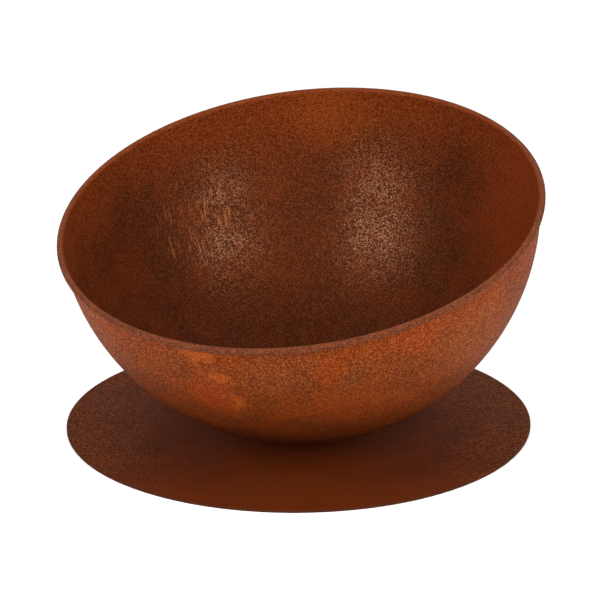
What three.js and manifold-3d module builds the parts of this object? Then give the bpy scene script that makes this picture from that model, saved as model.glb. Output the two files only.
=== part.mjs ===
// A hemispherical steel fire bowl, tilted on a round base plate, with a lift-out log grate.
// Millimetres, +Z up, the open side of the bowl leaning towards -Y. The origin is the centre of
// the base plate's underside, which lies flat on the ground.

import * as THREE from "three";
import { mergeVertices } from "three/addons/utils/BufferGeometryUtils.js";
import Module from "manifold-3d";

const wasm = await Module();
wasm.setup();

const { degToRad } = THREE.MathUtils;

// Pieces that are welded, pressed or bolted together keep this much air between them.
const jointGap = 0.3;

// Base plate
const plateRadius = 284;
const plateThickness = 3;
const plateChamfer = 0.4;

// Bowl: a sheet-steel hemisphere whose lowest point stands on the plate. It is tilted forwards,
// turned a little to the left, and its edge is rolled outwards into a round bead.
const bowlRadius = 284.6;
const bowlThickness = 2.5;
const bowlStandsAt = { x: 2, y: -33 };
const bowlTilt = degToRad(16.5);
const bowlTurn = degToRad(23.4);
const beadRadius = 4;
const beadBelowCentre = 11.6;

// Air and drain hole, low on the right of the wall. Its place is the angle up from the lowest
// point of the bowl and the bearing from +X.
const airHoleDiameter = 15;
const airHoleRise = degToRad(39);
const airHoleBearing = degToRad(-53.6);

// Fixing: an M10 stud welded to the plate, through the lowest point of the bowl
const studRadius = 5;
const studStandsProud = 3;
const studChamfer = 1;
const boltHoleRadius = 5.5;
const seatRing = { inner: 36, outer: 42, height: 2 };
const cupWasher = { inner: 5.6, outer: 20, rim: 2.3 };
const springWasher = { inner: 5.3, outer: 9, height: 2.2, halfSlit: degToRad(6) };
const nut = { acrossFlats: 17, height: 8, bore: 5.25 };

// Grate: a ring of round bar that rests level on the wall of the bowl, two cross bars inside the
// ring, and the log bars on top of both.
const grateRodRadius = 4;
const grateRingRadius = 132;
const grateWallClearance = 0.8;
const logBarCount = 9;
const logBarSpacing = 30;
const logBarPastRingCentre = 2.5;
const crossBarOffset = 60;

// Fineness of the round shapes
const aroundBowl = 64;
const alongBowlArc = 20;
const aroundBead = 9;
const aroundPlate = 96;
const aroundRing = 72;
const aroundSmall = 24;
const aroundRod = 14;

const bowlCentre = new THREE.Vector3(
  bowlStandsAt.x,
  bowlStandsAt.y,
  plateThickness + jointGap + bowlRadius,
);
const bowlInnerRadius = bowlRadius - bowlThickness;
const bowlPose = new THREE.Quaternion().setFromEuler(
  new THREE.Euler(bowlTilt, 0, -bowlTurn, "ZXY"),
);

const weatheredSteel = new THREE.MeshStandardMaterial({
  color: 0x8a4624,
  roughness: 0.85,
  metalness: 0.15,
});
const plateSteel = new THREE.MeshStandardMaterial({
  color: 0x52240f,
  roughness: 0.8,
  metalness: 0.15,
});
const firedSteel = new THREE.MeshStandardMaterial({
  color: 0x2e2622,
  roughness: 0.7,
  metalness: 0.4,
});
const fixingSteel = new THREE.MeshStandardMaterial({
  color: 0x5d4030,
  roughness: 0.6,
  metalness: 0.5,
});

// The geometry as a solid that can be cut.
function solidOf(geometry) {
  const bare = geometry.clone();
  bare.deleteAttribute("normal");
  bare.deleteAttribute("uv");
  const merged = mergeVertices(bare, 1e-3);
  return new wasm.Manifold(
    new wasm.Mesh({
      numProp: 3,
      vertProperties: merged.attributes.position.array,
      triVerts: new Uint32Array(merged.index.array),
    }),
  );
}

// The cut solid as a geometry again.
function geometryOf(solid) {
  const mesh = solid.getMesh();
  const geometry = new THREE.BufferGeometry();
  geometry.setAttribute("position", new THREE.BufferAttribute(mesh.vertProperties, 3));
  geometry.setIndex(new THREE.BufferAttribute(mesh.triVerts, 1));
  geometry.computeVertexNormals();
  return geometry;
}

function addPiece(group, name, geometry, material) {
  const mesh = new THREE.Mesh(geometry, material);
  mesh.name = name;
  group.add(mesh);
  return mesh;
}

// A profile of [radius, height] points turned about the Z axis.
function turned(profile, segments) {
  const points = profile.map(([radius, height]) => new THREE.Vector2(radius, height));
  return new THREE.LatheGeometry(points, segments).rotateX(Math.PI / 2);
}

// Points on an arc of the turning plane. Angles run from straight down (0) outwards and up.
function arc(radius, fromAngle, toAngle, steps, centre = [0, 0]) {
  return Array.from({ length: steps + 1 }, (_, i) => {
    const angle = THREE.MathUtils.lerp(fromAngle, toAngle, i / steps);
    return [centre[0] + radius * Math.sin(angle), centre[1] - radius * Math.cos(angle)];
  });
}

// A straight round rod along the given axis, centred on the origin.
function rod(radius, length, direction) {
  const upright = new THREE.Vector3(0, 1, 0);
  return new THREE.CylinderGeometry(radius, radius, length, aroundRod).applyQuaternion(
    new THREE.Quaternion().setFromUnitVectors(upright, direction),
  );
}

// A flat ring on the XY plane.
function flatRing(inner, outer, height, segments) {
  return turned(
    [
      [inner, 0],
      [outer, 0],
      [outer, height],
      [inner, height],
      [inner, 0],
    ],
    segments,
  );
}

// How far below the bowl's centre a sphere of this radius is, at this distance from its axis.
function dropAt(sphereRadius, distance) {
  return Math.sqrt(sphereRadius ** 2 - distance ** 2);
}

function basePlate() {
  return turned(
    [
      [0, 0],
      [plateRadius - plateChamfer, 0],
      [plateRadius, plateChamfer],
      [plateRadius, plateThickness - plateChamfer],
      [plateRadius - plateChamfer, plateThickness],
      [0, plateThickness],
    ],
    aroundPlate,
  );
}

// The sheet-steel bowl about its own centre, its axis upright: up the outside, round the bead and
// down the inside. The bead's inner side runs on from the inside of the wall.
function uprightBowl() {
  const innerEnd = Math.acos(beadBelowCentre / bowlInnerRadius);
  const beadCentre = bowlInnerRadius * Math.sin(innerEnd) + beadRadius;
  const outerEnd = Math.acos((beadBelowCentre + beadRadius) / bowlRadius);
  return turned(
    [
      ...arc(bowlRadius, 0, outerEnd, alongBowlArc),
      ...arc(beadRadius, 0, 1.5 * Math.PI, aroundBead, [beadCentre, -beadBelowCentre]),
      ...arc(bowlInnerRadius, innerEnd, 0, alongBowlArc).slice(1),
    ],
    aroundBowl,
  );
}

// A round cutter that goes through the bowl's wall in the given direction from its centre.
function wallCutter(radius, direction) {
  const length = 8 * bowlThickness;
  const upright = new THREE.Vector3(0, 1, 0);
  return new THREE.CylinderGeometry(radius, radius, length, aroundSmall)
    .applyQuaternion(new THREE.Quaternion().setFromUnitVectors(upright, direction))
    .translate(...direction.clone().multiplyScalar(bowlRadius).toArray());
}

function bowl() {
  const down = new THREE.Vector3(0, 0, -1);
  const toAirHole = new THREE.Vector3(
    Math.sin(airHoleRise) * Math.cos(airHoleBearing),
    Math.sin(airHoleRise) * Math.sin(airHoleBearing),
    -Math.cos(airHoleRise),
  );
  const tilted = solidOf(uprightBowl().applyQuaternion(bowlPose));
  const drilled = tilted
    .subtract(solidOf(wallCutter(boltHoleRadius, down)))
    .subtract(solidOf(wallCutter(airHoleDiameter / 2, toAirHole)));
  return geometryOf(drilled);
}

// A pressed washer: its underside follows the inside of the bowl and its top is flat. It is built
// about the bowl's centre.
function dishedWasher() {
  const sphere = bowlInnerRadius - 2 * jointGap;
  const edge = Math.asin(cupWasher.outer / sphere);
  const hole = Math.asin(cupWasher.inner / sphere);
  const top = cupWasherTop();
  return turned(
    [
      ...arc(sphere, hole, edge, 3),
      [cupWasher.outer, top],
      [cupWasher.inner, top],
      [cupWasher.inner, -dropAt(sphere, cupWasher.inner)],
    ],
    aroundSmall,
  );
}

// The height of the dished washer's top, counted from the bowl's centre.
function cupWasherTop() {
  return cupWasher.rim - dropAt(bowlInnerRadius - 2 * jointGap, cupWasher.outer);
}

function splitWasher() {
  const from = springWasher.halfSlit;
  const to = 2 * Math.PI - springWasher.halfSlit;
  const outline = new THREE.Shape();
  outline.absarc(0, 0, springWasher.outer, from, to, false);
  outline.absarc(0, 0, springWasher.inner, to, from, true);
  return new THREE.ExtrudeGeometry(outline, {
    depth: springWasher.height,
    bevelEnabled: false,
    curveSegments: aroundSmall,
  });
}

function hexNut() {
  const corner = nut.acrossFlats / Math.sqrt(3);
  const outline = new THREE.Shape(
    Array.from({ length: 6 }, (_, i) => {
      const angle = (i * Math.PI) / 3;
      return new THREE.Vector2(corner * Math.cos(angle), corner * Math.sin(angle));
    }),
  );
  const bore = new THREE.Path();
  bore.absarc(0, 0, nut.bore, 0, 2 * Math.PI, false);
  outline.holes.push(bore);
  return new THREE.ExtrudeGeometry(outline, {
    depth: nut.height,
    bevelEnabled: false,
    curveSegments: aroundSmall / 2,
  });
}

function weldStud(length) {
  return turned(
    [
      [0, 0],
      [studRadius, 0],
      [studRadius, length - studChamfer],
      [studRadius - studChamfer, length],
      [0, length],
    ],
    aroundSmall,
  );
}

// The seat ring, stud, washers and nut that hold the bowl down on the plate.
function fixing() {
  const group = new THREE.Group();
  group.position.set(bowlStandsAt.x, bowlStandsAt.y, plateThickness);
  const washerTop = bowlCentre.z + cupWasherTop() - plateThickness;
  const springWasherAt = washerTop + jointGap;
  const nutAt = springWasherAt + springWasher.height + jointGap;
  const studLength = nutAt + nut.height + studStandsProud - jointGap;

  const seat = flatRing(seatRing.inner, seatRing.outer, seatRing.height, 2 * aroundSmall);
  addPiece(group, "seat_ring", seat, fixingSteel).position.z = jointGap;
  addPiece(group, "weld_stud", weldStud(studLength), fixingSteel).position.z = jointGap;
  const washer = addPiece(group, "dished_washer", dishedWasher(), fixingSteel);
  washer.position.z = bowlCentre.z - plateThickness;
  addPiece(group, "spring_washer", splitWasher(), fixingSteel).position.z = springWasherAt;
  addPiece(group, "fixing_nut", hexNut(), fixingSteel).position.z = nutAt;
  return group;
}

// The lift-out grate. Its group stands where the ring's centre line meets the bowl's upright axis.
function grate() {
  const group = new THREE.Group();
  const rodSphere = bowlInnerRadius - grateRodRadius - grateWallClearance;
  group.position.copy(bowlCentre);
  group.position.z -= dropAt(rodSphere, grateRingRadius);

  const ring = new THREE.TorusGeometry(grateRingRadius, grateRodRadius, aroundRod, aroundRing);
  addPiece(group, "grate_ring", ring, firedSteel);

  const ringInside = grateRingRadius - grateRodRadius;
  const alongX = new THREE.Vector3(1, 0, 0);
  const crossBarHalf = dropAt(ringInside, crossBarOffset + grateRodRadius) - jointGap;
  ["front", "back"].forEach((place, i) => {
    const bar = rod(grateRodRadius, 2 * crossBarHalf, alongX);
    const mesh = addPiece(group, `grate_cross_bar_${place}`, bar, firedSteel);
    mesh.position.y = (2 * i - 1) * crossBarOffset;
  });

  const alongY = new THREE.Vector3(0, 1, 0);
  for (let i = 0; i < logBarCount; i++) {
    const x = (i - (logBarCount - 1) / 2) * logBarSpacing;
    const half = dropAt(grateRingRadius, x) + logBarPastRingCentre;
    const bar = rod(grateRodRadius, 2 * half, alongY);
    const mesh = addPiece(group, `grate_log_bar_${i + 1}`, bar, firedSteel);
    mesh.position.set(x, 0, 2 * grateRodRadius + jointGap);
  }
  return group;
}

const firePit = new THREE.Group();
addPiece(firePit, "base_plate", basePlate(), plateSteel);
addPiece(firePit, "bowl", bowl(), weatheredSteel).position.copy(bowlCentre);
firePit.add(fixing());
firePit.add(grate());

export default firePit;
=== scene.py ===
"""A tilted fire bowl of rusted sheet steel on a round plate, with its lift-out log grate.

Metres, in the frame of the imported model. The pieces stand where the CAD nodes stand.
"""

import math

import bmesh
import bpy
from mathutils import Matrix, Vector


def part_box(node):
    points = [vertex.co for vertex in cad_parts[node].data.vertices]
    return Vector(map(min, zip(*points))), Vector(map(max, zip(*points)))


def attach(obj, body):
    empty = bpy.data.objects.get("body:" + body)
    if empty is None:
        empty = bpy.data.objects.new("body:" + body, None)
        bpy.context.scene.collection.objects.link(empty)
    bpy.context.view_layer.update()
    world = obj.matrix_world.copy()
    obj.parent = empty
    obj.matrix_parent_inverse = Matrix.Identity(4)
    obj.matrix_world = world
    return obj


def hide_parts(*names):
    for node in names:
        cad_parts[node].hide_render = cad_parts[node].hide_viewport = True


MM = 0.001
FRONT = Vector((0, -1, 0))
UP = Vector((0, 0, 1))

# The bowl: a hemisphere of sheet steel, its edge rolled outwards into a bead
BOWL_RADIUS = 284.6 * MM
BOWL_THICKNESS = 2.5 * MM
BOWL_TILT = math.radians(16.5)
BOWL_TURN = math.radians(23.4)
BEAD_RADIUS = 4 * MM
BEAD_BELOW_CENTRE = 11.6 * MM
BOLT_HOLE_RADIUS = 5.5 * MM
AIR_HOLE_RADIUS = 7.5 * MM
AIR_HOLE_RISE = math.radians(39)
AIR_HOLE_BEARING = math.radians(-53.6)

# The plate
PLATE_EDGE = 0.4 * MM

# The fixing
THREAD_PITCH = 1.5 * MM
THREAD_DEPTH = 0.75 * MM
STUD_CHAMFER = 1 * MM
NUT_BORE = 5.25 * MM
NUT_THREAD_DEPTH = 0.35 * MM
NUT_CHAMFER = math.radians(30)
# The round face that the chamfer leaves, as a share of the width across flats
NUT_FACE_SHARE = 0.985
SLIT_HALF = math.radians(6)
SPRING_WASHER_HOLE = 5.3 * MM
SPRING_WASHER_EDGE = 0.25 * MM
WASHER_HOLE = 5.6 * MM
WASHER_EDGE = 0.5 * MM
SEAT_RING_INNER = 36 * MM
SEAT_RING_EDGE = 0.3 * MM
SEAT_WELD_RADIUS = 1.5 * MM
SEAT_WELD_RIPPLE = 0.22 * MM
SEAT_WELD_OUT_AND_UP = 0.7 * MM
SEAT_WELD_RIPPLES = 84

# The grate's round bar and its welds
ROD_RADIUS = 4 * MM
ROD_CHAMFER = 0.7 * MM
CROSS_BAR_SHORT_OF_RING_CENTRE = 1 * MM
TACK_ASIDE = 2.6 * MM
TACK_HALF_LENGTH = 3.2 * MM
TACK_RADIUS = 1.9 * MM
SADDLE_RADIUS = 1 * MM
SADDLE_RIPPLES = 10
WELD_RIPPLE = 0.12 * MM

# Fineness
AROUND_BOWL = 288
ALONG_BOWL = 80
AROUND_BEAD = 20
AROUND_PLATE = 360
AROUND_SMALL = 64
AROUND_NUT = 96
AROUND_ROD = 28
AROUND_RING = 240
AROUND_SEAT_WELD = 12
AROUND_TACK = 12
AROUND_SADDLE = 10
STEPS_PER_THREAD_TURN = 10
ALONG_NUT = 40
ALONG_ROD = 24
ALONG_TACK = 12
ALONG_SADDLE = 40

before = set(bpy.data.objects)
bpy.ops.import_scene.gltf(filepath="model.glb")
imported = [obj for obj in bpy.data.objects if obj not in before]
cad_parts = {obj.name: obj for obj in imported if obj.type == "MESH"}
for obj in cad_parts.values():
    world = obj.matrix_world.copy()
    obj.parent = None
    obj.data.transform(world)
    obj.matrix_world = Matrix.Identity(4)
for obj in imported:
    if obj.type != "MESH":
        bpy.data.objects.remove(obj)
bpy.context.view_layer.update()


# ---------------------------------------------------------------- places taken from the frame


def middle(node):
    low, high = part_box(node)
    return (low + high) / 2


PLATE_LOW, PLATE_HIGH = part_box("base_plate")
PLATE_RADIUS = (PLATE_HIGH.x - PLATE_LOW.x) / 2
STUD_LOW, STUD_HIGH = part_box("weld_stud")
BOWL_CENTRE = middle("weld_stud")
BOWL_CENTRE.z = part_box("bowl")[0].z + BOWL_RADIUS
BOWL_POSE = Matrix.Rotation(-BOWL_TURN, 4, "Z") @ Matrix.Rotation(BOWL_TILT, 4, "X")
BOWL_INNER = BOWL_RADIUS - BOWL_THICKNESS
INNER_END = math.acos(BEAD_BELOW_CENTRE / BOWL_INNER)
OUTER_END = math.acos((BEAD_BELOW_CENTRE + BEAD_RADIUS) / BOWL_RADIUS)
BEAD_CENTRE = (BOWL_INNER * math.sin(INNER_END) + BEAD_RADIUS, -BEAD_BELOW_CENTRE)


# ---------------------------------------------------------------- mesh helpers


def piece(name, bm, body, replaced=(), smooth_under=35):
    """The bmesh as a piece that rides on the body and stands for the CAD nodes replaced."""
    mesh = bpy.data.meshes.new(name)
    bm.normal_update()
    bm.to_mesh(mesh)
    bm.free()
    mesh.shade_smooth()
    mesh.set_sharp_from_angle(angle=math.radians(smooth_under))
    made = bpy.data.objects.new(name, mesh)
    bpy.context.scene.collection.objects.link(made)
    if body:
        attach(made, body)
    if replaced:
        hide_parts(*replaced)
    return made


def paint(made, *looks):
    for look in looks:
        made.data.materials.append(look)


def around(radius, angle, height=0.0):
    """The point at this radius and angle about a vertical axis."""
    return Vector((radius * math.cos(angle), radius * math.sin(angle), height))


def arc(radius, start, end, steps, centre=(0, 0)):
    """Points of a turning profile on an arc. Angles run from straight down outwards and up."""
    points = []
    for i in range(steps + 1):
        angle = start + (end - start) * i / steps
        points.append((centre[0] + radius * math.sin(angle), centre[1] - radius * math.cos(angle)))
    return points


def turned(profile, segments, closed=False, centre=(0, 0, 0)):
    """The profile of (radius, height) points turned about a vertical axis, as a closed bmesh."""
    bm = bmesh.new()
    rings = []
    for radius, height in profile:
        if radius < 1e-9:
            rings.append([bm.verts.new(Vector((0, 0, height)) + Vector(centre))])
            continue
        ring = []
        for i in range(segments):
            point = around(radius, 2 * math.pi * i / segments, height)
            ring.append(bm.verts.new(point + Vector(centre)))
        rings.append(ring)
    pairs = list(zip(rings, rings[1:]))
    if closed:
        pairs.append((rings[-1], rings[0]))
    for below, above in pairs:
        for i in range(segments):
            j = (i + 1) % segments
            corners = [below[i % len(below)], below[j % len(below)]]
            corners += [above[j % len(above)], above[i % len(above)]]
            bm.faces.new(list(dict.fromkeys(corners)))
    bmesh.ops.recalc_face_normals(bm, faces=bm.faces)
    return bm


def rounded(corners, radius, steps=4):
    """A closed profile with each of its convex corners rounded."""
    points = []
    count = len(corners)
    for i, corner in enumerate(corners):
        here = Vector(corner)
        before = (Vector(corners[i - 1]) - here).normalized()
        after = (Vector(corners[(i + 1) % count]) - here).normalized()
        for k in range(steps + 1):
            t = k / steps
            points.append(tuple(here + radius * ((1 - t) ** 2 * before + t**2 * after)))
    return points


def join_rings(bm, rings, closed=False):
    """Quads from each ring of vertices to the next one. A row that isn't closed gets end caps."""
    pairs = list(zip(rings, rings[1:]))
    if closed:
        pairs.append((rings[-1], rings[0]))
    for below, above in pairs:
        for k in range(len(below)):
            j = (k + 1) % len(below)
            bm.faces.new((below[k], below[j], above[j], above[k]))
    if not closed:
        bm.faces.new(list(reversed(rings[0])))
        bm.faces.new(rings[-1])


def add_tube(bm, path, radii, sides, closed=False):
    """A round tube along a path, with its own radius at each point, its open ends capped."""
    rings = []
    count = len(path)
    for i, point in enumerate(path):
        if closed:
            ahead = path[(i + 1) % count] - path[i - 1]
        else:
            ahead = path[min(i + 1, count - 1)] - path[max(i - 1, 0)]
        turn = ahead.normalized().to_track_quat("Z", "Y")
        ring = []
        for k in range(sides):
            offset = around(radii[i], 2 * math.pi * k / sides)
            ring.append(bm.verts.new(point + turn @ offset))
        rings.append(ring)
    join_rings(bm, rings, closed)


def rippled(radius, ripple, ripples, count):
    """The radii of a weld that swells and shrinks this many times on its way round."""
    return [radius + ripple * math.sin(2 * math.pi * i * ripples / count) for i in range(count)]


def circle(centre, radius, count):
    return [Vector(centre) + around(radius, 2 * math.pi * i / count) for i in range(count)]


def cut(made, cutter):
    """The piece less the cutter, which is then removed."""
    modifier = made.modifiers.new("cut", "BOOLEAN")
    modifier.operation = "DIFFERENCE"
    modifier.solver = "EXACT"
    modifier.object = cutter
    bpy.context.view_layer.update()
    graph = bpy.context.evaluated_depsgraph_get()
    mesh = bpy.data.meshes.new_from_object(made.evaluated_get(graph))
    made.modifiers.clear()
    made.data = mesh
    bpy.data.objects.remove(cutter)


# ---------------------------------------------------------------- materials


def srgb(red, green, blue):
    """A colour given in 0 to 255 display values, as the linear colour that a shader takes."""
    linear = []
    for value in (red, green, blue):
        share = value / 255
        linear.append(share / 12.92 if share <= 0.04045 else ((share + 0.055) / 1.055) ** 2.4)
    return (*linear, 1)


class Look:
    """One procedural material, with a short call for each kind of node it is made of."""

    def __init__(self, name):
        self.material = bpy.data.materials.new(name)
        self.material.use_nodes = True
        self.tree = self.material.node_tree
        self.shader = self.tree.nodes["Principled BSDF"]
        self.here = self.node("ShaderNodeTexCoord").outputs["Object"]

    def node(self, kind, **settings):
        made = self.tree.nodes.new(kind)
        for key, value in settings.items():
            setattr(made, key, value)
        return made

    def give(self, socket, value):
        if isinstance(value, bpy.types.NodeSocket):
            self.tree.links.new(value, socket)
        else:
            socket.default_value = value

    def math(self, operation, a, b=0.0):
        made = self.node("ShaderNodeMath", operation=operation)
        self.give(made.inputs[0], a)
        self.give(made.inputs[1], b)
        return made.outputs[0]

    def times(self, a, b):
        return self.math("MULTIPLY", a, b)

    def distance(self, vector, place):
        made = self.node("ShaderNodeVectorMath", operation="DISTANCE")
        self.give(made.inputs[0], vector)
        made.inputs[1].default_value = place
        return made.outputs["Value"]

    def seen_from(self, place, turn=(0, 0, 0)):
        """The position in a frame that stands at this place and is turned this way."""
        made = self.node("ShaderNodeMapping", vector_type="TEXTURE")
        self.give(made.inputs["Vector"], self.here)
        made.inputs["Location"].default_value = place
        made.inputs["Rotation"].default_value = turn
        return made.outputs[0]

    def stretched(self, vector, scale):
        made = self.node("ShaderNodeMapping", vector_type="POINT")
        self.give(made.inputs["Vector"], vector)
        made.inputs["Scale"].default_value = scale
        return made.outputs[0]

    def down_the_wall(self, vector, stretch):
        """A position on the bowl's wall in which a pattern runs straight down, stretched."""
        bearing = self.node("ShaderNodeVectorMath", operation="NORMALIZE")
        self.give(bearing.inputs[0], self.stretched(vector, (1, 1, 0)))
        level = self.node("ShaderNodeVectorMath", operation="SCALE")
        self.give(level.inputs[0], bearing.outputs[0])
        level.inputs["Scale"].default_value = BOWL_RADIUS
        made = self.node("ShaderNodeVectorMath", operation="ADD")
        self.give(made.inputs[0], level.outputs[0])
        self.give(made.inputs[1], self.stretched(vector, (0, 0, stretch)))
        return made.outputs[0]

    def noise(self, size, vector=None, detail=2.0, roughness=0.5):
        """Fractal noise from 0 to 1 whose largest grains are about this size."""
        made = self.node("ShaderNodeTexNoise")
        self.give(made.inputs["Vector"], self.here if vector is None else vector)
        made.inputs["Scale"].default_value = 1 / size
        made.inputs["Detail"].default_value = detail
        made.inputs["Roughness"].default_value = roughness
        return made.outputs["Fac"]

    def flecks(self, size, vector=None):
        """A random number from 0 to 1 for each fleck of this size."""
        made = self.node("ShaderNodeTexVoronoi", feature="F1")
        self.give(made.inputs["Vector"], self.here if vector is None else vector)
        made.inputs["Scale"].default_value = 1 / size
        return self.split(made.outputs["Color"])[0]

    def step(self, value, low, high, to_low=0.0, to_high=1.0):
        """A smooth step of the value, from to_low at low to to_high at high."""
        made = self.node("ShaderNodeMapRange", interpolation_type="SMOOTHSTEP")
        self.give(made.inputs["Value"], value)
        made.inputs["From Min"].default_value = low
        made.inputs["From Max"].default_value = high
        made.inputs["To Min"].default_value = to_low
        made.inputs["To Max"].default_value = to_high
        return made.outputs["Result"]

    def mix(self, share, a, b):
        made = self.node("ShaderNodeMix", data_type="RGBA")
        self.give(made.inputs[0], share)
        self.give(made.inputs[6], a)
        self.give(made.inputs[7], b)
        return made.outputs[2]

    def split(self, vector):
        made = self.node("ShaderNodeSeparateXYZ")
        self.give(made.inputs[0], vector)
        return made.outputs

    def bump(self, height, distance, before=None):
        made = self.node("ShaderNodeBump")
        self.give(made.inputs["Height"], height)
        made.inputs["Distance"].default_value = distance
        if before is not None:
            self.give(made.inputs["Normal"], before)
        return made.outputs["Normal"]

    def near(self, vector, place, radius, softness, ragged):
        """1 within this radius of the place, 0 beyond it. The ragged length moves the soft edge."""
        distance = self.math("ADD", self.distance(vector, place), ragged)
        return self.step(distance, radius + softness, radius - softness)

    def ragged(self, size, reach, detail=2.0, roughness=0.5):
        """A length that noise moves either way by up to about half of this reach."""
        swing = self.math("SUBTRACT", self.noise(size, detail=detail, roughness=roughness), 0.5)
        return self.times(swing, reach)

    def speckled(self, colour, flecks, pale, pale_share, dark, dark_share, where=1.0):
        """The colour with the higher flecks paler and the lower ones darker, where the mask is 1."""
        high = self.times(self.step(flecks, 0.5, 1.0, 0, pale_share), where)
        low = self.times(self.step(flecks, 0.5, 0.0, 0, dark_share), where)
        return self.mix(low, self.mix(high, colour, pale), dark)

    def patched(self, colour, vector, patches, ragged):
        """The colour with soft patches of other tones on the bowl's wall."""
        for bearing, drop, radius, softness, tone, strength in patches:
            mask = self.near(vector, on_bowl(bearing, drop), radius * MM, softness * MM, ragged)
            colour = self.mix(self.times(mask, strength), colour, srgb(*tone))
        return colour

    def finish(self, colour, roughness, normal, metallic=0.0, specular=0.5, tint=(1, 1, 1)):
        self.give(self.shader.inputs["Base Color"], colour)
        self.give(self.shader.inputs["Roughness"], roughness)
        self.give(self.shader.inputs["Normal"], normal)
        self.give(self.shader.inputs["Metallic"], metallic)
        self.shader.inputs["Specular IOR Level"].default_value = specular
        self.shader.inputs["Specular Tint"].default_value = (*tint, 1)
        return self.material


# The rust's fine grain, the single flecks in it, and the warm glint that it throws back
GRAIN = 1.5 * MM
FLECK = 1.15 * MM
RUST_GLINT = (1.0, 0.42, 0.24)


def on_bowl(bearing, drop):
    """The place on the bowl's wall at this bearing, from the front to the right, and this drop."""
    bearing, drop = math.radians(bearing), math.radians(drop)
    level = BOWL_RADIUS * math.cos(drop)
    return (level * math.sin(bearing), -level * math.cos(bearing), -BOWL_RADIUS * math.sin(drop))


# Patches on the outside of the bowl, by bearing and drop in degrees, radius and softness in
# millimetres, display colour and strength
OUTSIDE_PATCHES = (
    (-4, 22, 44, 22, (86, 37, 19), 0.7),
    (-24, 34, 34, 16, (112, 37, 5), 0.8),
    (8, 24, 16, 9, (118, 40, 6), 0.7),
    (14, 36, 34, 16, (108, 37, 5), 0.6),
    (28, 15, 30, 14, (112, 37, 6), 0.7),
    (-25, 20, 14, 6, (154, 72, 24), 0.8),
    (-21, 28, 11, 6, (148, 68, 20), 0.6),
    (-17, 36, 9, 5, (148, 68, 20), 0.55),
    (-33, 24, 12, 8, (84, 40, 24), 0.6),
    (13, 27, 12, 8, (82, 40, 22), 0.6),
    (50, 20, 60, 26, (106, 48, 16), 0.6),
    (-62, 12, 60, 26, (106, 48, 18), 0.5),
)


def bowl_outside_look():
    """Orange-brown rust with fine grain and patches of brighter and greyer rust, with painted shade
    darker lower down.
    """
    look = Look("corten_outside")
    level = look.seen_from(BOWL_CENTRE)
    grain = look.noise(GRAIN, detail=1)
    flecks = look.flecks(FLECK)
    clumps = look.noise(6 * MM, detail=4, roughness=0.7)
    blotch = look.noise(34 * MM, detail=4, roughness=0.62)
    ragged = look.ragged(16 * MM, 70 * MM, detail=5, roughness=0.7)

    colour = look.mix(look.step(blotch, 0.38, 0.64), srgb(81, 30, 5), srgb(97, 35, 5))
    colour = look.patched(colour, level, OUTSIDE_PATCHES, ragged)
    under_rim = look.split(look.seen_from(BOWL_CENTRE, BOWL_POSE.to_euler()))["Z"]
    colour = look.mix(look.step(under_rim, -60 * MM, -20 * MM, 0, 0.35), colour, srgb(112, 37, 7))
    colour = look.mix(look.step(clumps, 0.54, 0.7, 0, 0.22), colour, srgb(138, 60, 14))
    colour = look.mix(look.step(clumps, 0.46, 0.3, 0, 0.2), colour, srgb(62, 24, 8))
    height = look.split(level)["Z"]
    # Painted shade: the wall darkens towards the bottom, where it faces down at the plate.
    colour = look.mix(look.step(height, -160 * MM, -280 * MM, 0, 0.8), colour, srgb(50, 21, 8))
    # The flecks are grain; the pale ones also stand in for painted glints, so their share fades lower
    # down, where the wall is in shade.
    grain_and_glint_share = look.step(height, -230 * MM, -100 * MM, 0.3, 1)
    colour = look.speckled(colour, flecks, srgb(164, 94, 42), 0.5, srgb(48, 17, 4), 0.4, grain_and_glint_share)

    normal = look.bump(blotch, 0.6 * MM)
    normal = look.bump(grain, 0.7 * MM, normal)
    normal = look.bump(flecks, 0.15 * MM, normal)
    metal = look.times(look.step(flecks, 0.6, 1.0, 0, 0.25), grain_and_glint_share)
    roughness = look.step(flecks, 0, 1, 0.8, 0.5)
    return look.finish(colour, roughness, normal, metal, 0.09, RUST_GLINT)


# Where thin broken runs of paler rust show inside the bowl: bearing and drop in degrees, radius
# in millimetres
RUNS = ((-158, 17, 40), (-146, 22, 40))

# Where two painted sheens of paler, brighter grain show inside, given in the same way
PAINTED_SHEENS_INSIDE = ((-160, 12, 24), (-158, 26, 30), (158, 9, 38), (156, 24, 40))

RUN_SOFTNESS = 24 * MM
PAINTED_SHEEN_SOFTNESS = 40 * MM

# Patches of painted light and shade inside the bowl, given in the same way as those outside
INSIDE_LIGHT_AND_SHADE_PATCHES = (
    (106, 8, 90, 40, (122, 43, 6), 0.45),
    (138, 8, 34, 30, (56, 19, 5), 0.7),
    (135, 26, 46, 30, (46, 15, 4), 0.75),
    (160, 48, 90, 40, (50, 17, 5), 0.4),
    (-134, 14, 30, 26, (54, 18, 5), 0.7),
    (-138, 30, 36, 28, (46, 15, 4), 0.65),
    (-160, 46, 80, 40, (50, 17, 5), 0.4),
    (172, -9, 44, 30, (124, 50, 9), 0.45),
)


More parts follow.
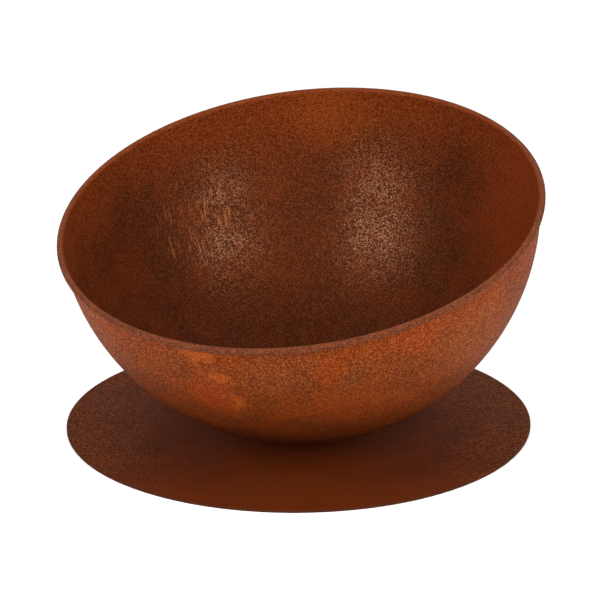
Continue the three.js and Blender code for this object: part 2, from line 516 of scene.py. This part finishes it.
def bowl_inside_look():
    """Dark red-brown, smoother than outside, brighter at the rim, painted light and shade, two
    painted sheens, thin runs.
    """
    look = Look("corten_inside")
    level = look.seen_from(BOWL_CENTRE)
    grain = look.noise(GRAIN, detail=1)
    flecks = look.flecks(FLECK)
    blotch = look.noise(60 * MM, detail=4, roughness=0.6)
    ragged = look.ragged(30 * MM, 80 * MM, detail=3)
    runs = look.noise(2.2 * MM, look.down_the_wall(level, 0.06), detail=1)
    broken = look.step(look.noise(14 * MM, level, detail=1), 0.43, 0.53)
    height = look.split(look.seen_from(BOWL_CENTRE, BOWL_POSE.to_euler()))["Z"]

    colour = look.mix(look.step(blotch, 0.38, 0.64), srgb(60, 20, 4), srgb(76, 26, 5))
    # Brighter towards the rim: a band of redder rust, lifted further by painted light on the upper
    # inner wall.
    colour = look.mix(look.step(height, -100 * MM, -14 * MM, 0, 0.55), colour, srgb(114, 40, 5))
    # Patches of painted light and shade: brighter near the rim, darker bands beside the sheens and
    # darker deep down.
    colour = look.patched(colour, level, INSIDE_LIGHT_AND_SHADE_PATCHES, ragged)
    # Grain, with the pale flecks also painted glints, strongest near the rim where the inner wall is
    # lit.
    grain_and_glint_share = look.step(height, -130 * MM, -20 * MM, 0.6, 1)
    colour = look.speckled(colour, flecks, srgb(148, 82, 42), 0.55, srgb(32, 10, 3), 0.7, grain_and_glint_share)
    # Painted sheens: paler flecks in two zones where light would glint off the inner wall.
    painted_sheen = 0.0
    for bearing, drop, radius in PAINTED_SHEENS_INSIDE:
        zone = look.near(level, on_bowl(bearing, drop), radius * MM, PAINTED_SHEEN_SOFTNESS, ragged)
        painted_sheen = look.math("MAXIMUM", painted_sheen, zone)
    sheen_glints = look.times(look.step(flecks, 0.5, 1.0), painted_sheen)
    colour = look.mix(look.times(sheen_glints, 0.36), colour, srgb(180, 136, 102))
    for bearing, drop, radius in RUNS:
        zone = look.near(level, on_bowl(bearing, drop), radius * MM, RUN_SOFTNESS, ragged)
        mask = look.times(look.step(runs, 0.57, 0.66, 0, 0.55), look.times(zone, broken))
        colour = look.mix(mask, colour, srgb(156, 92, 50))

    normal = look.bump(blotch, 0.4 * MM)
    normal = look.bump(grain, 0.35 * MM, normal)
    normal = look.bump(flecks, 0.08 * MM, normal)
    metal = look.math("ADD", look.step(flecks, 0.55, 1.0, 0, 0.3), look.times(sheen_glints, 0.1))
    roughness = look.step(flecks, 0, 1, 0.6, 0.38)
    return look.finish(colour, roughness, normal, metal, 0.2, RUST_GLINT)


def bead_look():
    """The rolled edge: red-brown like the inside on its inner half, greyer on top and outside."""
    look = Look("corten_bead")
    upright = look.seen_from(BOWL_CENTRE, BOWL_POSE.to_euler())
    level = look.distance(look.stretched(upright, (1, 1, 0)), (0, 0, 0))
    grain = look.noise(1.8 * MM, detail=1)
    flecks = look.flecks(FLECK)
    blotch = look.noise(24 * MM, detail=3)
    outer_side = look.step(level, BEAD_CENTRE[0] + 1.0 * MM, BEAD_CENTRE[0] + 3.6 * MM)
    inner_side = look.step(level, BEAD_CENTRE[0] + 0.6 * MM, BEAD_CENTRE[0] - 2.0 * MM)
    colour = look.mix(look.step(blotch, 0.38, 0.62), srgb(80, 38, 19), srgb(92, 44, 22))
    colour = look.mix(outer_side, colour, srgb(76, 34, 17))
    colour = look.mix(inner_side, colour, srgb(98, 37, 8))
    colour = look.speckled(colour, flecks, srgb(146, 84, 46), 0.4, srgb(50, 19, 7), 0.3)
    normal = look.bump(grain, 0.5 * MM)
    roughness = look.step(flecks, 0, 1, 0.75, 0.5)
    return look.finish(colour, roughness, normal, 0.0, 0.12, (1, 0.6, 0.45))


def plate_look():
    """Dark brown rust, redder in front, with painted light under the bowl and a painted sheen of
    paler grain towards the sides.
    """
    look = Look("corten_plate")
    grain = look.noise(GRAIN, detail=1)
    flecks = look.flecks(FLECK)
    blotch = look.noise(55 * MM, detail=4, roughness=0.6)
    front = look.math("ADD", look.split(look.here)["Y"], look.times(blotch, 120 * MM))
    colour = look.mix(look.step(blotch, 0.36, 0.66), srgb(66, 25, 6), srgb(78, 29, 6))
    colour = look.mix(look.step(front, -70 * MM, -220 * MM, 0, 0.6), colour, srgb(90, 35, 7))
    aside = look.math("ABSOLUTE", look.split(look.here)["X"])
    # Painted sheen: pale flecks towards the sides, where the plate would catch a grazing reflection.
    painted_sheen = look.step(aside, 110 * MM, 250 * MM)
    painted_sheen = look.times(painted_sheen, look.step(front, -180 * MM, -30 * MM, 0.25, 1))
    pale = look.times(look.step(flecks, 0.6, 1.0, 0, 0.8), painted_sheen)
    colour = look.mix(pale, colour, srgb(132, 76, 38))
    colour = look.mix(look.step(flecks, 0.5, 0.0, 0, 0.35), colour, srgb(34, 13, 4))
    # Painted light: the plate is lighter round the bowl's foot, lifting the shade under the bowl.
    from_foot = look.distance(look.here, (BOWL_CENTRE.x, BOWL_CENTRE.y, PLATE_HIGH.z))
    colour = look.mix(look.step(from_foot, 200 * MM, 60 * MM, 0, 0.7), colour, srgb(98, 40, 12))
    from_middle = look.distance(look.here, (0, 0, 0))
    edge = look.step(from_middle, PLATE_RADIUS - 0.5 * MM, PLATE_RADIUS - 0.2 * MM, 0, 0.7)
    colour = look.mix(edge, colour, srgb(50, 30, 22))
    normal = look.bump(blotch, 0.3 * MM)
    normal = look.bump(grain, 0.6 * MM, normal)
    roughness = look.step(flecks, 0, 1, 0.85, 0.65)
    return look.finish(colour, roughness, normal, 0.0, 0.08, RUST_GLINT)


def fired_steel_look():
    """Heat-blackened round bar with mill scale and patches of rust."""
    look = Look("fired_steel")
    grain = look.noise(GRAIN, detail=3, roughness=0.7)
    scale = look.noise(9 * MM, detail=4, roughness=0.65)
    rust = look.noise(26 * MM, detail=4, roughness=0.6)
    colour = look.mix(look.step(scale, 0.4, 0.6), srgb(34, 30, 28), srgb(56, 50, 47))
    colour = look.mix(look.step(rust, 0.48, 0.62, 0, 0.8), colour, srgb(88, 42, 22))
    colour = look.mix(look.step(grain, 0.55, 0.7, 0, 0.5), colour, srgb(116, 62, 35))
    normal = look.bump(scale, 0.3 * MM)
    normal = look.bump(grain, 0.3 * MM, normal)
    return look.finish(colour, look.step(rust, 0.45, 0.65, 0.5, 0.8), normal, metallic=0.3)


def weld_look():
    """Bare weld metal, blued and lightly rusted."""
    look = Look("weld_metal")
    grain = look.noise(1.2 * MM, detail=3, roughness=0.7)
    tint = look.noise(8 * MM, detail=2)
    colour = look.mix(look.step(tint, 0.4, 0.6), srgb(70, 62, 60), srgb(86, 52, 38))
    colour = look.mix(look.step(grain, 0.52, 0.66, 0, 0.5), colour, srgb(126, 70, 40))
    normal = look.bump(grain, 0.25 * MM)
    return look.finish(colour, look.step(grain, 0.3, 0.7, 0.4, 0.7), normal, metallic=0.4)


def fixing_look():
    """Galvanised steel gone dull, with patches of rust."""
    look = Look("fixing_steel")
    grain = look.noise(1.2 * MM, detail=3, roughness=0.7)
    rust = look.noise(7 * MM, detail=4, roughness=0.65)
    colour = look.mix(look.step(grain, 0.35, 0.65), srgb(92, 80, 72), srgb(124, 112, 102))
    colour = look.mix(look.step(rust, 0.42, 0.56, 0, 0.9), colour, srgb(100, 48, 25))
    normal = look.bump(grain, 0.15 * MM)
    return look.finish(colour, look.step(rust, 0.4, 0.6, 0.42, 0.8), normal, metallic=0.5)


LOOKS = {
    "outside": bowl_outside_look(),
    "inside": bowl_inside_look(),
    "bead": bead_look(),
    "plate": plate_look(),
    "fired": fired_steel_look(),
    "weld": weld_look(),
    "fixing": fixing_look(),
}


# ---------------------------------------------------------------- the bowl


def hole_cutter(radius, direction):
    """A fine round cutter through the bowl's wall, in the bowl's own upright frame."""
    length = 10 * BOWL_THICKNESS
    bm = turned([(0, 0), (radius, 0), (radius, length), (0, length)], AROUND_SMALL)
    turn = direction.to_track_quat("Z", "Y").to_matrix().to_4x4()
    start = direction * (BOWL_RADIUS - length / 2)
    bm.transform(Matrix.Translation(start) @ turn)
    return piece("hole_cutter", bm, None)


def bead_normal(point):
    """The rolled edge's surface normal at a point of it, in the bowl's upright frame."""
    level = math.hypot(point.x, point.y)
    out = Vector((point.x / level, point.y / level, 0))
    return (out * (level - BEAD_CENTRE[0]) + UP * (point.z - BEAD_CENTRE[1])).normalized()


def bowl_shell():
    """The wall with its rolled edge and two holes, shaded with the true normals of its spheres."""
    profile = arc(BOWL_RADIUS, 0, OUTER_END, ALONG_BOWL)
    profile += arc(BEAD_RADIUS, 0, 1.5 * math.pi, AROUND_BEAD, BEAD_CENTRE)
    profile += arc(BOWL_INNER, INNER_END, 0, ALONG_BOWL)[1:]
    made = piece("bowl_shell", turned(profile, AROUND_BOWL), None)

    to_upright = BOWL_POSE.to_3x3().inverted()
    to_air_hole = around(math.sin(AIR_HOLE_RISE), AIR_HOLE_BEARING, -math.cos(AIR_HOLE_RISE))
    holes = ((to_upright @ -UP, BOLT_HOLE_RADIUS), (to_upright @ to_air_hole, AIR_HOLE_RADIUS))
    for axis, radius in holes:
        cut(made, hole_cutter(radius, axis))

    mesh = made.data
    mesh.shade_smooth()
    normals = [None] * len(mesh.loops)
    outside, inside, bead = 0, 1, 2
    for face in mesh.polygons:
        in_hole = any(
            face.center.cross(axis).length < radius + 0.01 * MM
            and face.center.dot(axis) > 0
            and abs(face.normal.dot(axis)) < 0.5
            for axis, radius in holes
        )
        in_section = Vector((math.hypot(face.center.x, face.center.y), face.center.z))
        from_bead = (in_section - Vector(BEAD_CENTRE)).length
        if from_bead < 1.01 * BEAD_RADIUS and not in_hole:
            face.material_index = bead
        elif in_hole or face.center.length < (BOWL_RADIUS + BOWL_INNER) / 2:
            face.material_index = inside
        else:
            face.material_index = outside
        for loop in face.loop_indices:
            point = mesh.vertices[mesh.loops[loop].vertex_index].co
            if in_hole:
                normals[loop] = face.normal.copy()
            elif face.material_index == bead:
                normals[loop] = bead_normal(point)
            else:
                normals[loop] = point.normalized() * (1 if face.material_index == outside else -1)
    place = Matrix.Translation(BOWL_CENTRE) @ BOWL_POSE
    mesh.transform(place)
    mesh.normals_split_custom_set([BOWL_POSE.to_3x3() @ normal for normal in normals])
    paint(made, LOOKS["outside"], LOOKS["inside"], LOOKS["bead"])
    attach(made, "stand")
    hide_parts("bowl")


# ---------------------------------------------------------------- the plate and the fixing


def plate_disc():
    """A round sheet with eased edges."""
    top = PLATE_HIGH.z - PLATE_LOW.z
    level = PLATE_RADIUS - PLATE_EDGE
    profile = [(0, 0), (level, 0)]
    profile += arc(PLATE_EDGE, 0, math.pi / 2, 5, (level, PLATE_EDGE))
    profile += arc(PLATE_EDGE, math.pi / 2, math.pi, 5, (level, top - PLATE_EDGE))
    profile += [(0, top)]
    profile = list(dict.fromkeys(profile))
    centre = middle("base_plate")
    bm = turned(profile, AROUND_PLATE, centre=(centre.x, centre.y, PLATE_LOW.z))
    made = piece("plate_disc", bm, "stand", ["base_plate"])
    paint(made, LOOKS["plate"])


def seat_ring():
    """A flat ring that the bowl nestles in, with a rippled weld round it."""
    low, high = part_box("seat_ring")
    outer = (high.x - low.x) / 2
    height = high.z - low.z
    corners = [(SEAT_RING_INNER, 0), (outer, 0), (outer, height), (SEAT_RING_INNER, height)]
    centre = middle("seat_ring")
    bm = turned(rounded(corners, SEAT_RING_EDGE), 2 * AROUND_SMALL, True, (centre.x, centre.y, low.z))
    made = piece("seat_ring_steel", bm, "stand", ["seat_ring"])
    paint(made, LOOKS["fixing"])

    steps = 4 * SEAT_WELD_RIPPLES
    middle_of_weld = (centre.x, centre.y, low.z + SEAT_WELD_OUT_AND_UP)
    path = circle(middle_of_weld, outer + SEAT_WELD_OUT_AND_UP, steps)
    radii = rippled(SEAT_WELD_RADIUS, SEAT_WELD_RIPPLE, SEAT_WELD_RIPPLES, steps)
    bm = bmesh.new()
    add_tube(bm, path, radii, AROUND_SEAT_WELD, closed=True)
    bmesh.ops.recalc_face_normals(bm, faces=bm.faces)
    made = piece("seat_ring_weld", bm, "stand")
    paint(made, LOOKS["weld"])


def thread_radius(turns, outer):
    """The radius of a thread's flank at this many turns along it."""
    share = abs(2 * (turns % 1) - 1)
    flank = min(max((share - 0.15) / 0.7, 0), 1)
    return outer - THREAD_DEPTH * (1 - flank)


def stud():
    """A threaded stud, its top chamfered."""
    outer = (STUD_HIGH.x - STUD_LOW.x) / 2
    length = STUD_HIGH.z - STUD_LOW.z
    steps = round(length / THREAD_PITCH * STEPS_PER_THREAD_TURN)
    centre = Vector((middle("weld_stud").x, middle("weld_stud").y, STUD_LOW.z))
    bm = bmesh.new()
    rings = []
    for i in range(steps + 1):
        height = length * i / steps
        ring = []
        for k in range(AROUND_SMALL):
            radius = thread_radius(height / THREAD_PITCH - k / AROUND_SMALL, outer)
            radius = min(radius, outer - STUD_CHAMFER + (length - height))
            point = around(radius, 2 * math.pi * k / AROUND_SMALL, height)
            ring.append(bm.verts.new(centre + point))
        rings.append(ring)
    join_rings(bm, rings)
    made = piece("stud_threaded", bm, "stand", ["weld_stud"], smooth_under=50)
    paint(made, LOOKS["fixing"])


def dished_washer():
    """Its underside follows the inside of the bowl."""
    low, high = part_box("dished_washer")
    outer = (high.x - low.x) / 2
    sphere = math.hypot(BOWL_CENTRE.z - low.z, WASHER_HOLE)
    edge = math.asin(outer / sphere)
    hole = math.asin(WASHER_HOLE / sphere)
    level = high.z - BOWL_CENTRE.z - WASHER_EDGE
    profile = arc(sphere, hole, edge, 10)
    profile += arc(WASHER_EDGE, math.pi / 2, math.pi, 5, (outer - WASHER_EDGE, level))
    profile += arc(WASHER_EDGE, math.pi, 1.5 * math.pi, 5, (WASHER_HOLE + WASHER_EDGE, level))
    bm = turned(profile, AROUND_SMALL, True, BOWL_CENTRE)
    made = piece("dished_washer_pressed", bm, "stand", ["dished_washer"])
    paint(made, LOOKS["fixing"])


def spring_washer():
    """A split ring of square-cut wire with its edges eased."""
    low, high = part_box("spring_washer")
    centre = middle("spring_washer")
    outer = (high.y - low.y) / 2
    height = high.z - low.z
    corners = [(SPRING_WASHER_HOLE, 0), (outer, 0), (outer, height), (SPRING_WASHER_HOLE, height)]
    section = rounded(corners, SPRING_WASHER_EDGE)
    foot = Vector((centre.x, centre.y, low.z))
    bm = bmesh.new()
    rings = []
    for i in range(AROUND_SMALL + 1):
        ring = []
        for radius, z in section:
            slant = SLIT_HALF * (z / height - 0.5)
            angle = SLIT_HALF + slant + (2 * math.pi - 2 * SLIT_HALF) * i / AROUND_SMALL
            ring.append(bm.verts.new(foot + around(radius, angle, z)))
        rings.append(ring)
    join_rings(bm, rings)
    bmesh.ops.recalc_face_normals(bm, faces=bm.faces)
    made = piece("spring_washer_split", bm, "stand", ["spring_washer"])
    paint(made, LOOKS["fixing"])


def nut():
    """A hexagon nut with its corners chamfered at both faces and a threaded bore."""
    low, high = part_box("fixing_nut")
    centre = middle("fixing_nut")
    half_corner = (high.x - low.x) / 2
    half_flat = half_corner * math.sqrt(3) / 2
    height = high.z - low.z
    foot = Vector((centre.x, centre.y, low.z))
    bm = bmesh.new()
    rings = []
    levels = [height * i / ALONG_NUT for i in range(ALONG_NUT + 1)]
    for z in levels:
        ring = []
        for k in range(AROUND_NUT):
            angle = 2 * math.pi * k / AROUND_NUT
            to_flat = abs((angle % (math.pi / 3)) - math.pi / 6)
            hexagon = half_flat / math.cos(to_flat)
            cone = half_flat * NUT_FACE_SHARE + min(z, height - z) / math.tan(NUT_CHAMFER)
            ring.append(bm.verts.new(foot + around(min(hexagon, cone), angle, z)))
        rings.append(ring)
    for z in reversed(levels):
        ring = []
        for k in range(AROUND_NUT):
            turns = z / THREAD_PITCH - k / AROUND_NUT
            radius = NUT_BORE + NUT_THREAD_DEPTH * (1 - abs(2 * (turns % 1) - 1))
            ring.append(bm.verts.new(foot + around(radius, 2 * math.pi * k / AROUND_NUT, z)))
        rings.append(ring)
    join_rings(bm, rings, closed=True)
    bmesh.ops.recalc_face_normals(bm, faces=bm.faces)
    made = piece("fixing_nut_hexagon", bm, "stand", ["fixing_nut"], smooth_under=25)
    paint(made, LOOKS["fixing"])


# ---------------------------------------------------------------- the grate


def rod_between(name, node, start, end):
    """A round bar with chamfered ends, in place of a CAD bar."""
    along = (end - start).normalized()
    length = (end - start).length
    full = length - 2 * ROD_CHAMFER
    places = [ROD_CHAMFER + full * i / ALONG_ROD for i in range(ALONG_ROD + 1)]
    places = [0, *places, length]
    radii = [ROD_RADIUS] * len(places)
    radii[0] = radii[-1] = ROD_RADIUS - ROD_CHAMFER
    bm = bmesh.new()
    add_tube(bm, [start + along * place for place in places], radii, AROUND_ROD)
    made = piece(name, bm, "grate", [node])
    paint(made, LOOKS["fired"])


def grate():
    """The ring, two cross bars inside it and nine log bars on top, welded where they meet."""
    ring_low, ring_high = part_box("grate_ring")
    centre = middle("grate_ring")
    ring_radius = (ring_high.x - ring_low.x) / 2 - ROD_RADIUS
    bm = bmesh.new()
    path = circle(centre, ring_radius, AROUND_RING)
    add_tube(bm, path, [ROD_RADIUS] * AROUND_RING, AROUND_ROD, closed=True)
    bmesh.ops.recalc_face_normals(bm, faces=bm.faces)
    made = piece("grate_ring_bar", bm, "grate", ["grate_ring"])
    paint(made, LOOKS["fired"])

    welds = bmesh.new()
    cross_y = []
    for place in ("front", "back"):
        node = f"grate_cross_bar_{place}"
        mid = middle(node)
        cross_y.append(mid.y)
        half = math.sqrt(ring_radius**2 - (mid.y - centre.y) ** 2) - CROSS_BAR_SHORT_OF_RING_CENTRE
        reach = Vector((half, 0, 0))
        rod_between(f"cross_bar_{place}", node, mid - reach, mid + reach)
        for way in (-1, 1):
            add_saddle_weld(welds, centre, ring_radius, mid.y, way)

    cross_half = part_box("grate_cross_bar_front")[1].x - centre.x
    log_nodes = sorted(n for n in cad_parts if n.startswith("grate_log_bar_"))
    for node in log_nodes:
        low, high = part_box(node)
        mid = middle(node)
        ends = [Vector((mid.x, y, mid.z)) for y in (low.y, high.y)]
        rod_between(node.replace("grate_", ""), node, *ends)
        contact = (mid.z + centre.z) / 2
        for side in (-1, 1):
            beside = mid.x + side * TACK_ASIDE
            on_ring = math.sqrt(ring_radius**2 - (beside - centre.x) ** 2)
            for y in (centre.y - on_ring, centre.y + on_ring):
                add_tack_weld(welds, Vector((beside, y, contact)))
            if abs(beside - centre.x) < cross_half:
                for y in cross_y:
                    add_tack_weld(welds, Vector((beside, y, contact)))
    bmesh.ops.recalc_face_normals(welds, faces=welds.faces)
    made = piece("grate_welds", welds, "grate", smooth_under=60)
    paint(made, LOOKS["weld"])


def add_tack_weld(bm, centre):
    """A short rippled bead of weld in the corner where a log bar crosses another bar."""
    path = []
    radii = []
    for i in range(ALONG_TACK + 1):
        share = 2 * i / ALONG_TACK - 1
        path.append(centre + Vector((0, TACK_HALF_LENGTH * share, 0)))
        dome = math.sqrt(max(1 - share**2, 0.04))
        radii.append(TACK_RADIUS * dome + WELD_RIPPLE * math.sin(3 * i))
    add_tube(bm, path, radii, AROUND_TACK)


def add_saddle_weld(bm, centre, ring_radius, y, way):
    """A bead of weld on the line where a cross bar runs into the inner side of the ring."""
    path = []
    for i in range(ALONG_SADDLE):
        angle = 2 * math.pi * i / ALONG_SADDLE
        across = y - centre.y + ROD_RADIUS * math.cos(angle)
        rise = ROD_RADIUS * math.sin(angle)
        inner = ring_radius - math.sqrt(max(ROD_RADIUS**2 - rise**2, 0))
        path.append(centre + Vector((way * math.sqrt(inner**2 - across**2), across, rise)))
    radii = rippled(SADDLE_RADIUS, WELD_RIPPLE, SADDLE_RIPPLES, ALONG_SADDLE)
    add_tube(bm, path, radii, AROUND_SADDLE, closed=True)


# ---------------------------------------------------------------- studio


CAMERA_TARGET = Vector((3 * MM, 0, 155.5 * MM))
CAMERA_DISTANCE = 2.902
CAMERA_ELEVATION = math.radians(18.68)
CAMERA_ROLL = math.radians(-0.46)
CAMERA_LENS = 144
SENSOR_WIDTH = 36

# Name, azimuth and elevation in degrees, distance, width and height in metres, power in watts
SOFTBOXES = (
    ("softbox_right", 46, 29, 2.4, 0.7, 1.9, 60),
    ("softbox_left", -46, 29, 2.4, 0.7, 1.9, 60),
    ("softbox_back", 180, 55, 3.4, 4.0, 2.0, 62),
)
HORIZON_LIGHT = 0.86
OVERHEAD_LIGHT = 0.12
HORIZON_ENDS = math.radians(4)
OVERHEAD_STARTS = math.radians(35)

# The floor glows a little, more so far from the bowl, so that it renders as an even white
FLOOR_HALF = 12
FLOOR_GLOW = (0.14, 0.6)
FLOOR_GLOW_STARTS_AND_ENDS = (1.2, 4.0)


def camera():
    data = bpy.data.cameras.new("camera")
    data.lens = CAMERA_LENS
    data.sensor_width = SENSOR_WIDTH
    data.clip_end = 50
    made = bpy.data.objects.new("camera", data)
    bpy.context.scene.collection.objects.link(made)
    back = FRONT * math.cos(CAMERA_ELEVATION) + UP * math.sin(CAMERA_ELEVATION)
    turn = back.to_track_quat("Z", "Y").to_matrix().to_4x4() @ Matrix.Rotation(CAMERA_ROLL, 4, "Z")
    made.matrix_world = Matrix.Translation(CAMERA_TARGET + back * CAMERA_DISTANCE) @ turn
    bpy.context.scene.camera = made


def softbox(name, azimuth, elevation, distance, width, height, power):
    """A rectangular light that faces the bowl. Azimuth 0 is in front, and it grows to the right."""
    data = bpy.data.lights.new(name, "AREA")
    data.shape = "RECTANGLE"
    data.size = width
    data.size_y = height
    data.energy = power
    made = bpy.data.objects.new(name, data)
    bpy.context.scene.collection.objects.link(made)
    made.visible_camera = False
    azimuth, elevation = math.radians(azimuth), math.radians(elevation)
    level = Vector((math.sin(azimuth), -math.cos(azimuth), 0))
    away = level * math.cos(elevation) + UP * math.sin(elevation)
    turn = away.to_track_quat("Z", "Y").to_matrix().to_4x4()
    made.matrix_world = Matrix.Translation(CAMERA_TARGET + away * distance) @ turn


def surroundings():
    """A pale room, brightest at the horizon."""
    world = bpy.data.worlds.new("studio")
    world.use_nodes = True
    tree = world.node_tree
    direction = tree.nodes.new("ShaderNodeTexCoord").outputs["Generated"]
    split = tree.nodes.new("ShaderNodeSeparateXYZ")
    fade = tree.nodes.new("ShaderNodeMapRange")
    fade.interpolation_type = "SMOOTHSTEP"
    fade.inputs["From Min"].default_value = math.sin(HORIZON_ENDS)
    fade.inputs["From Max"].default_value = math.sin(OVERHEAD_STARTS)
    fade.inputs["To Min"].default_value = HORIZON_LIGHT
    fade.inputs["To Max"].default_value = OVERHEAD_LIGHT
    sky = tree.nodes["Background"]
    sky.inputs["Color"].default_value = (1, 1, 1, 1)
    tree.links.new(direction, split.inputs[0])
    tree.links.new(split.outputs["Z"], fade.inputs["Value"])
    tree.links.new(fade.outputs["Result"], sky.inputs["Strength"])
    bpy.context.scene.world = world


def floor():
    """A pale floor, far wider than any view of the bowl."""
    bm = bmesh.new()
    corners = ((-1, -1), (1, -1), (1, 1), (-1, 1))
    bm.faces.new([bm.verts.new((x * FLOOR_HALF, y * FLOOR_HALF, PLATE_LOW.z)) for x, y in corners])
    made = piece("floor", bm, None)
    look = Look("pale_floor")
    tone = look.mix(look.noise(300 * MM, detail=2), srgb(246, 246, 245), srgb(250, 250, 249))
    paint(made, look.finish(tone, 0.9, look.bump(look.noise(3 * MM), 0.02 * MM), specular=0.1))
    look.shader.inputs["Emission Color"].default_value = (1, 1, 1, 1)
    away = look.distance(look.here, (0, 0, 0))
    glow = look.step(away, *FLOOR_GLOW_STARTS_AND_ENDS, *FLOOR_GLOW)
    look.give(look.shader.inputs["Emission Strength"], glow)


def studio():
    bpy.context.scene.view_settings.view_transform = "Standard"
    surroundings()
    floor()
    for box in SOFTBOXES:
        softbox(*box)


camera()
studio()
bowl_shell()
plate_disc()
seat_ring()
stud()
dished_washer()
spring_washer()
nut()
grate()
